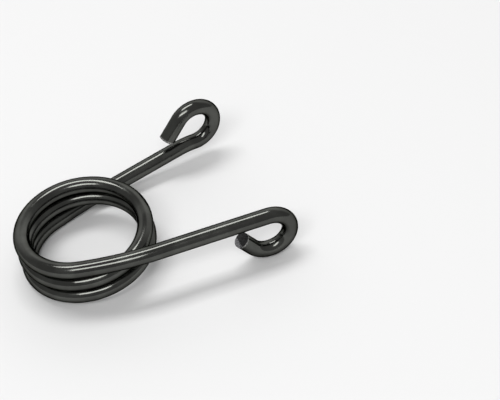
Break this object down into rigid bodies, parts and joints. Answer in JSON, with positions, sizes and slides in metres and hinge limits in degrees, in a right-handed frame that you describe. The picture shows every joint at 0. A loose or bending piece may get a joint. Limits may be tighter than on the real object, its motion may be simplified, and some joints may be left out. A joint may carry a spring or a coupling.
{
  "type": "hairpin spring",
  "caption": "Torsion spring of round black-coated wire: a short coil with side-by-side legs, each ending in an open eye that stands across the coil.",
  "frame": {"origin": "centre of the coil, on its axis and at mid-height", "axes": "+Z along the coil's axis; +X from the coil towards the eyes, midway between the legs; the upper leg is on the -Y side"},
  "size_m": [0.1275, 0.0916, 0.037],
  "materials": {
    "black_coat": "gloss black coat on spring steel wire"
  },
  "bodies": {
    "root": {"spring_wire": "black_coat"}
  },
  "joints": []
}
